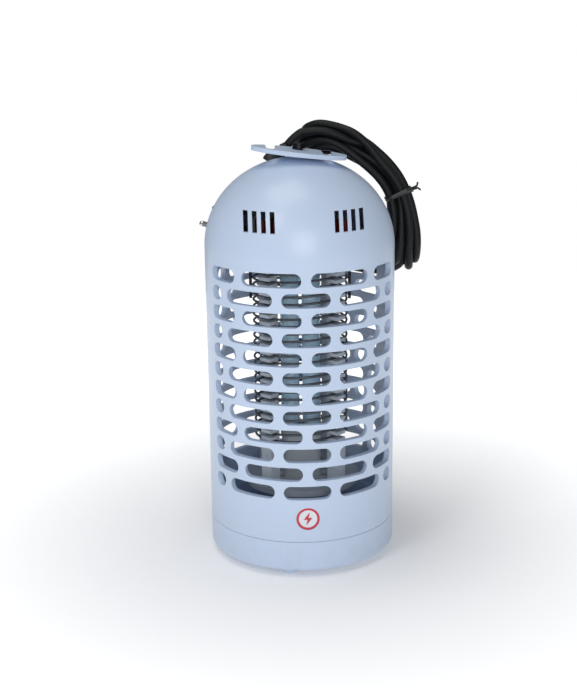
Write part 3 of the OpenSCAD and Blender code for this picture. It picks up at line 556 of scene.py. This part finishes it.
class Finish:
    """A material with a Principled shader, and the writing of its nodes."""

    def __init__(self, name, color, roughness, **fixed):
        self.material = bpy.data.materials.new(name)
        self.material.use_nodes = True
        self.tree = self.material.node_tree
        self.shader = next(n for n in self.tree.nodes if n.type == "BSDF_PRINCIPLED")
        self.shader.inputs["Base Color"].default_value = color
        self.shader.inputs["Roughness"].default_value = roughness
        for key, value in fixed.items():
            self.shader.inputs[key.replace("_", " ")].default_value = value

    def _put(self, socket, value):
        if isinstance(value, Val):
            self.tree.links.new(value.socket, socket)
        else:
            socket.default_value = value

    def add(self, kind, settings=None, values=()):
        """A node of any kind: its settings first, then its sockets' values or links, by place
        or by name. Gives its outputs."""
        node = self.tree.nodes.new(kind)
        for key, value in (settings or {}).items():
            if key == "stops":
                ramp = node.color_ramp
                while len(ramp.elements) < len(value):
                    ramp.elements.new(1.0)
                for element, (place, color) in zip(ramp.elements, value):
                    element.position = place
                    element.color = color
            else:
                setattr(node, key, value)
        pairs = values.items() if isinstance(values, dict) else enumerate(values)
        for key, value in pairs:
            self._put(node.inputs[key], value)
        return [Val(self, s) for s in node.outputs if s.enabled]

    def place(self):
        """Object coordinates, in metres."""
        return self.add("ShaderNodeTexCoord")[3]

    def uv(self):
        return self.add("ShaderNodeTexCoord")[2]

    def xyz(self):
        """The three object coordinates."""
        return self.add("ShaderNodeSeparateXYZ", None, [self.place()])

    def stretched(self, scale, turn=(0.0, 0.0, 0.0), vector=None):
        """Coordinates scaled by three numbers after a turn."""
        return self.add("ShaderNodeMapping", None,
                        {"Vector": vector or self.place(), "Rotation": turn, "Scale": scale})[0]

    def noise(self, scale, detail=3.0, rough=0.55, vector=None):
        values = {"Vector": vector or self.place(), "Scale": scale, "Detail": detail, "Roughness": rough}
        return self.add("ShaderNodeTexNoise", {"noise_dimensions": "3D"}, values)[0]

    def mix(self, amount, first, second):
        """One colour shading into another."""
        node = self.tree.nodes.new("ShaderNodeMix")
        node.data_type = "RGBA"
        self._put(node.inputs[0], amount)
        self._put(node.inputs[6], first)
        self._put(node.inputs[7], second)
        return Val(self, node.outputs[2])

    def set(self, name, value):
        self._put(self.shader.inputs[name], value)

    def bump(self, height, depth, strength=1.0):
        values = {"Strength": strength, "Distance": depth, "Height": height}
        self.set("Normal", self.add("ShaderNodeBump", None, values)[0])


def step_mask(value, low, high):
    """0 below low, 1 above high, straight between."""
    return ((value - low) / (high - low)).clamp()


def shell_plastic():
    """Pale moulded plastic: a faint cloudiness, fine orange peel, hairline scuffs and a little
    dust settled low down."""
    f = Finish("pale_shell", srgb(198, 214, 236), 0.34, Coat_Weight=0.15, Coat_Roughness=0.2, IOR=1.5)
    cloud = f.noise(24.0, 4.0)
    fine = f.noise(900.0, 2.0)
    scuff = f.noise(60.0, 5.0, 0.7, f.stretched((6.0, 6.0, 0.7), (0.3, 0.2, 0.4)))
    scuffs = step_mask(scuff, 0.6, 0.72)
    z = f.xyz()[2]
    dust = (1 - step_mask(z, 0.004, 0.05)) * step_mask(f.noise(140.0, 4.0), 0.4, 0.7)
    base = f.mix(cloud * 0.5, srgb(198, 214, 237), srgb(191, 208, 232))
    base = f.mix(dust * 0.12, base, srgb(168, 168, 164))
    f.set("Base Color", base)
    f.set("Roughness", 0.32 + cloud * 0.08 + scuffs * 0.12 + dust * 0.15)
    f.bump(fine * 0.35 + cloud * 0.65, 0.00006, 0.35)
    return f.material


def post_plastic():
    """Off-white engineering plastic of the comb posts and small mouldings."""
    f = Finish("white_moulding", srgb(205, 212, 218), 0.42)
    cloud = f.noise(70.0, 3.0)
    grime = step_mask(f.noise(220.0, 4.0), 0.52, 0.75)
    f.set("Base Color", f.mix(grime * 0.25, f.mix(cloud, srgb(210, 217, 223), srgb(196, 204, 212)),
                              srgb(150, 148, 140)))
    f.set("Roughness", 0.38 + cloud * 0.15)
    f.bump(f.noise(1100.0, 2.0), 0.00005, 0.3)
    return f.material


def grey_plastic():
    """Grey plastic of the lamp's base and the ring that carries it."""
    f = Finish("grey_moulding", srgb(176, 182, 188), 0.45)
    cloud = f.noise(55.0, 3.0)
    f.set("Base Color", f.mix(cloud, srgb(184, 190, 196), srgb(165, 172, 179)))
    f.set("Roughness", 0.4 + cloud * 0.18)
    f.bump(f.noise(900.0, 2.0), 0.00005, 0.4)
    return f.material


def black_plastic():
    f = Finish("black_moulding", srgb(30, 31, 33), 0.4)
    cloud = f.noise(80.0, 3.0)
    f.set("Base Color", f.mix(cloud, srgb(26, 27, 29), srgb(42, 43, 45)))
    f.set("Roughness", 0.32 + cloud * 0.2)
    f.bump(f.noise(1400.0, 2.0), 0.00004, 0.5)
    return f.material


def lead_jacket():
    """Black jacket of the mains lead: soft sheen, long draw marks, rubbed paler patches."""
    f = Finish("lead_jacket", srgb(22, 24, 25), 0.42, Specular_IOR_Level=0.3)
    marks = f.noise(9.0, 3.0, 0.6, f.stretched((14.0, 0.35, 1.0), vector=f.uv()))
    rub = step_mask(f.noise(45.0, 4.0), 0.5, 0.72)
    dust = f.noise(700.0, 3.0)
    base = f.mix(rub * 0.4, srgb(10, 13, 14), srgb(26, 32, 33))
    f.set("Base Color", f.mix(dust * 0.06, base, srgb(70, 76, 76)))
    f.set("Roughness", 0.44 + marks * 0.14 + rub * 0.12)
    f.bump(marks * 0.7 + dust * 0.3, 0.00008, 0.5)
    return f.material


def moulded_jacket():
    """Black soft plastic of the plug and the bend relief, finely grained."""
    f = Finish("moulded_jacket", srgb(24, 25, 27), 0.48)
    grain = f.noise(1500.0, 3.0)
    rub = step_mask(f.noise(60.0, 4.0), 0.5, 0.75)
    f.set("Base Color", f.mix(rub * 0.4, srgb(22, 23, 25), srgb(50, 53, 55)))
    f.set("Roughness", 0.44 + grain * 0.12 + rub * 0.08)
    f.bump(grain, 0.00006, 0.6)
    return f.material


def metal(name, color, roughness, line_scale, tarnish):
    """Metal with fine drawn lines and spots of tarnish."""
    f = Finish(name, color, roughness, Metallic=1.0)
    lines = f.noise(40.0, 4.0, 0.6, f.stretched(line_scale))
    spots = step_mask(f.noise(350.0, 4.0), 0.5, 0.78)
    dark = tuple(0.45 * c for c in color[:3]) + (1.0,)
    f.set("Base Color", f.mix(spots * tarnish, color, dark))
    f.set("Roughness", roughness + lines * 0.12 + spots * 0.15)
    f.bump(lines, 0.00003, 0.5)
    return f.material


def pin_metal():
    """Nickel pins, black insulated for the half next to the plug's face."""
    f = Finish("plug_pin", srgb(205, 203, 196), 0.22)
    x, y, z = f.xyz()
    at = plug_points(np.zeros((1, 3)))[0]
    axis = PLUG_AXES[:, 2]
    depth = (x - float(at[0])) * float(axis[0]) + (y - float(at[1])) * float(axis[1])
    depth = depth + (z - float(at[2])) * float(axis[2])
    bare = step_mask(depth, 0.0098, 0.0101)
    lines = f.noise(60.0, 3.0, 0.6, f.stretched((1.0, 1.0, 12.0)))
    f.set("Base Color", f.mix(bare, srgb(26, 27, 28), srgb(206, 204, 197)))
    f.set("Metallic", bare)
    f.set("Roughness", 0.42 - bare * 0.22 + lines * 0.1)
    f.bump(lines, 0.00003, 0.4)
    return f.material


def lamp_glass():
    """Blue-coated glass: paler where the coating is thin, darker at the ends, glossy."""
    f = Finish("lamp_glass", srgb(120, 152, 176), 0.12, Coat_Weight=0.6, Coat_Roughness=0.04)
    low, high = (float(c[2]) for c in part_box("lamp_tubes"))
    z = f.xyz()[2]
    ends = 1 - step_mask(z, low, low + 0.014) * (1 - step_mask(z, high - 0.012, high))
    cloud = f.noise(90.0, 4.0)
    base = f.mix(cloud, srgb(206, 238, 255), srgb(190, 224, 246))
    f.set("Base Color", f.mix(ends * 0.6, base, srgb(84, 102, 118)))
    f.set("Roughness", 0.08 + cloud * 0.08)
    f.bump(f.noise(300.0, 2.0), 0.00003, 0.3)
    return f.material


def badge_enamel():
    """Red ring and bolt standing on a pale ground, told apart by how far out they stand."""
    f = Finish("badge_enamel", srgb(200, 40, 62), 0.28, Coat_Weight=0.4)
    y = f.xyz()[1]
    face = float(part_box("front_badge")[0][1])
    raised = 1 - step_mask(y, face + 0.0001, face + 0.00022)
    cloud = f.noise(400.0, 3.0)
    red = f.mix(cloud, srgb(206, 44, 66), srgb(188, 34, 56))
    f.set("Base Color", f.mix(raised, srgb(226, 230, 238), red))
    f.set("Roughness", 0.25 + cloud * 0.15)
    f.bump(cloud, 0.00003, 0.4)
    return f.material


def resin(name, low, high, roughness):
    """Dipped or moulded resin of an electronic part, a little uneven in colour."""
    f = Finish(name, low, roughness)
    cloud = f.noise(180.0, 4.0)
    f.set("Base Color", f.mix(cloud, low, high))
    f.set("Roughness", roughness + cloud * 0.15)
    f.bump(f.noise(700.0, 3.0), 0.0001, 0.5)
    return f.material


def board_laminate():
    """Green laminate with a faint weave."""
    f = Finish("board_laminate", srgb(38, 92, 52), 0.4, Coat_Weight=0.3)
    x, y, _ = f.xyz()
    weave = (x * 5200.0).sine() * (y * 5200.0).sine()
    cloud = f.noise(60.0, 3.0)
    f.set("Base Color", f.mix(cloud * 0.8 + weave * 0.1, srgb(34, 88, 50), srgb(54, 110, 62)))
    f.set("Roughness", 0.35 + weave * 0.06)
    f.bump(weave, 0.00004, 0.5)
    return f.material


def wound_copper():
    """Enamelled copper wire, wound in close turns across the bobbin."""
    f = Finish("wound_copper", srgb(176, 96, 48), 0.3, Metallic=0.8, Coat_Weight=0.5)
    z = f.xyz()[2]
    turns = (z * 12000.0).sine()
    cloud = f.noise(120.0, 3.0)
    f.set("Base Color", f.mix(turns * 0.3 + cloud * 0.5, srgb(186, 104, 52), srgb(120, 58, 26)))
    f.set("Roughness", 0.3 + cloud * 0.15)
    f.bump(turns, 0.0001, 0.8)
    return f.material


def core_plates():
    """Stack of core plates: thin dark seams between them."""
    f = Finish("core_plates", srgb(96, 100, 104), 0.45, Metallic=0.7)
    y = f.xyz()[1]
    seams = (y * 9000.0).sine()
    rust = step_mask(f.noise(160.0, 4.0), 0.55, 0.75)
    f.set("Base Color", f.mix(rust * 0.6, f.mix(seams * 0.5 + 0.5, srgb(70, 73, 76), srgb(116, 120, 124)),
                              srgb(108, 72, 50)))
    f.set("Roughness", 0.42 + rust * 0.3)
    f.bump(seams, 0.0001, 0.8)
    return f.material


FINISHES = {
    "shell": shell_plastic(),
    "badge": badge_enamel(),
    "white_plastic": post_plastic(),
    "grey_plastic": grey_plastic(),
    "black_plastic": black_plastic(),
    "cord_jacket": moulded_jacket(),
    "steel": metal("zinc_steel", srgb(190, 192, 194), 0.28, (1.0, 1.0, 8.0), 0.5),
    "black_steel": metal("blackened_steel", srgb(46, 46, 48), 0.34, (1.0, 1.0, 6.0), 0.4),
    "grid_steel": metal("grid_steel", srgb(112, 114, 118), 0.3, (1.0, 1.0, 10.0), 0.6),
    "nickel": pin_metal(),
    "brass": metal("brass", srgb(206, 172, 96), 0.25, (1.0, 1.0, 8.0), 0.5),
    "glass_lamp": lamp_glass(),
    "board": board_laminate(),
    "core_steel": core_plates(),
    "copper": wound_copper(),
    "red_resin": resin("film_part", srgb(150, 44, 34), srgb(120, 30, 24), 0.3),
    "blue_resin": resin("disc_part", srgb(44, 104, 168), srgb(30, 80, 140), 0.35),
    "tan_resin": resin("resistor_body", srgb(196, 164, 116), srgb(176, 140, 92), 0.4),
    "wire_insulation": resin("brown_insulation", srgb(96, 56, 34), srgb(78, 44, 26), 0.4),
    "white_wire": resin("white_insulation", srgb(222, 222, 216), srgb(196, 198, 194), 0.4),
}

slots = {entry["node"]: entry["material_slot"] for entry in frame["record"]["subparts"]}
for node_name, node_object in frame["nodes"].items():
    node_object.data.materials.clear()
    node_object.data.materials.append(FINISHES[slots[node_name]])

for piece in (boot, plug, sleeve):
    piece.data.materials.append(FINISHES["cord_jacket"])
lead.data.materials.append(lead_jacket())
for piece in (tie, tie_a, tie_b):
    piece.data.materials.append(FINISHES["black_plastic"])
for piece in (wire_a, wire_b):
    piece.data.materials.append(FINISHES["grid_steel"])

# ------------------------------------------------------------------ studio


def stage_floor():
    """A white floor. Away from the object it glows, so that it blends with the backdrop."""
    mesh = bpy.data.meshes.new("studio_floor")
    half = 0.8
    corners = [(-half, -half, 0.0), (half, -half, 0.0), (half, half, 0.0), (-half, half, 0.0)]
    mesh.from_pydata(corners, [], [(0, 1, 2, 3)])
    floor = bpy.data.objects.new("studio_floor", mesh)
    bpy.context.scene.collection.objects.link(floor)
    f = Finish("floor_paper", (0.8, 0.8, 0.81, 1.0), 0.9)
    x, y, _ = f.xyz()
    away = step_mask((x * x + y * y) ** 0.5, 0.08, 0.42)
    f.set("Base Color", f.mix(f.noise(3.0, 2.0) * 0.3, (0.84, 0.84, 0.85, 1.0), (0.82, 0.82, 0.83, 1.0)))
    f.shader.inputs["Emission Strength"].default_value = 0.9
    f.set("Emission Color", f.mix(away, (0.2, 0.2, 0.2, 1.0), (1.0, 1.0, 1.0, 1.0)))
    mesh.materials.append(f.material)


def softbox(name, place, aim, size, power):
    """A white area light at a place, turned to a point."""
    data = bpy.data.lights.new(name, "AREA")
    data.shape = "RECTANGLE"
    data.size, data.size_y = size
    data.energy = power
    lamp = bpy.data.objects.new(name, data)
    bpy.context.scene.collection.objects.link(lamp)
    direction = unit(np.array(aim) - np.array(place))
    right = unit(np.cross(direction, [0.0, 0.0, 1.0]))
    up = np.cross(right, direction)
    matrix = np.eye(4)
    matrix[:3, 0], matrix[:3, 1], matrix[:3, 2], matrix[:3, 3] = right, up, -direction, place
    lamp.matrix_world = Matrix(matrix.tolist())


stage_floor()
softbox("key", (-0.8, -0.9, 1.3), (0.0, 0.0, 0.14), (0.5, 0.5), 4.0)
softbox("front", (0.05, -2.1, 0.75), (0.0, 0.0, 0.16), (0.9, 1.1), 13.6)
softbox("top", (-0.3, -0.1, 1.7), (0.0, 0.0, 0.1), (0.9, 0.9), 7.5)

# The room: a soft grey light all round, with a white backdrop behind the object
world = bpy.data.worlds.new("studio")
bpy.context.scene.world = world
world.use_nodes = True
nodes = world.node_tree.nodes
room = nodes["Background"]
room.inputs["Color"].default_value = (0.93, 0.96, 1.0, 1.0)
room.inputs["Strength"].default_value = 0.22
backdrop = nodes.new("ShaderNodeBackground")
backdrop.inputs["Color"].default_value = (1.0, 1.0, 1.0, 1.0)
backdrop.inputs["Strength"].default_value = 1.0
ray = nodes.new("ShaderNodeLightPath")
choice = nodes.new("ShaderNodeMixShader")
world.node_tree.links.new(ray.outputs["Is Camera Ray"], choice.inputs[0])
world.node_tree.links.new(room.outputs[0], choice.inputs[1])
world.node_tree.links.new(backdrop.outputs[0], choice.inputs[2])
world.node_tree.links.new(choice.outputs[0], nodes["World Output"].inputs["Surface"])
bpy.context.scene.view_settings.view_transform = "Standard"
